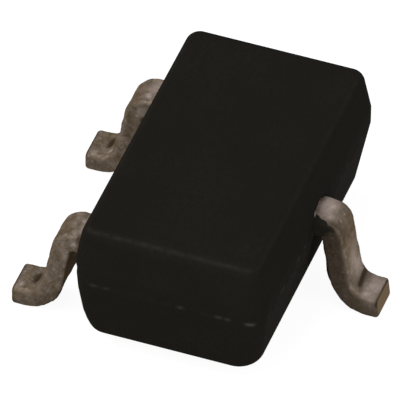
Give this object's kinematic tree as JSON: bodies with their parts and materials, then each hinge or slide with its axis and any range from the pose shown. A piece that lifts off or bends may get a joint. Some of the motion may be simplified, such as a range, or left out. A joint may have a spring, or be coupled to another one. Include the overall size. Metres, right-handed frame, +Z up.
{
  "type": "voltage reference ic",
  "caption": "Small moulded surface-mount voltage reference with gull-wing leads, a die on its pad and bond wires inside.",
  "frame": {"origin": "on the seating plane under the feet, midway between the toes and at the middle of the body's length", "axes": "+X along the body from the input lead to the output lead, +Y across it towards the ground lead, +Z up"},
  "size_m": [0.002, 0.0022, 0.001],
  "materials": {
    "mould_resin": "satin near-black epoxy moulding compound",
    "tinned_lead": "dull tin plating, mottled, bare copper alloy at the cut toes",
    "die_adhesive": "silver-filled adhesive",
    "silicon": "polished silicon",
    "bond_wire": "drawn gold"
  },
  "bodies": {
    "root": {"mould_body": "mould_resin", "lead_in": "tinned_lead", "lead_out": "tinned_lead", "lead_ground": "tinned_lead", "die_attach": "die_adhesive", "die": "silicon", "wire_in": "bond_wire", "wire_out": "bond_wire", "wire_ground": "bond_wire"}
  },
  "joints": []
}
